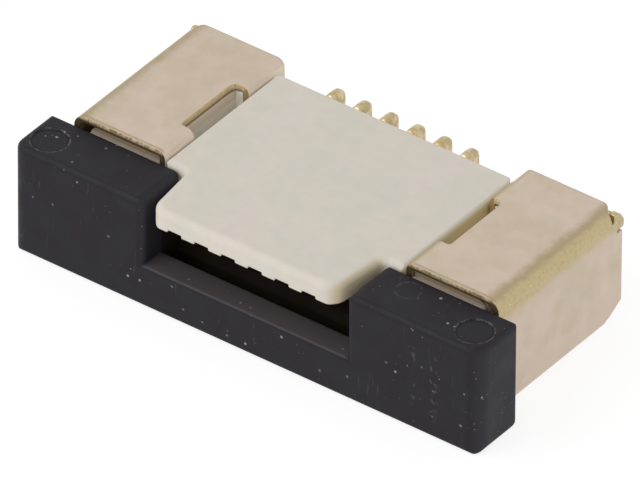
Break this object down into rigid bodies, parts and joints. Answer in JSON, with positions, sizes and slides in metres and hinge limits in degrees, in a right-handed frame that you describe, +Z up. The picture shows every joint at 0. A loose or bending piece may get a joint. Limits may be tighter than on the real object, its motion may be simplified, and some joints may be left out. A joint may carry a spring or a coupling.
{
  "type": "fpc connector",
  "caption": "Right-angle surface-mount connector for a flat flexible cable, with a moulded housing, a pull-out locking slider, stamped terminals and folded end brackets.",
  "frame": {"origin": "centre of the footprint, on the solder plane under the terminal tails and bracket feet", "axes": "+X along the contact row, +Y towards the solder tails, -Y towards the cable, +Z up from the board"},
  "size_m": [0.0088, 0.005, 0.0021],
  "materials": {
    "cream_resin": "matte moulded",
    "black_resin": "matte moulded",
    "gold_plate": "gold plated copper alloy",
    "bracket_plate": "satin plated copper alloy"
  },
  "bodies": {
    "connector_body": {"housing": "cream_resin", "terminal_1": "gold_plate", "terminal_2": "gold_plate", "terminal_3": "gold_plate", "terminal_4": "gold_plate", "terminal_5": "gold_plate", "terminal_6": "gold_plate", "left_bracket": "bracket_plate", "right_bracket": "bracket_plate"},
    "lock_slider": {"slider": "black_resin"}
  },
  "joints": [
    {"name": "slider_pull", "type": "slide", "parent": "connector_body", "child": "lock_slider", "axis": [0, -1, 0], "range_m": [0, 0.0008]}
  ]
}
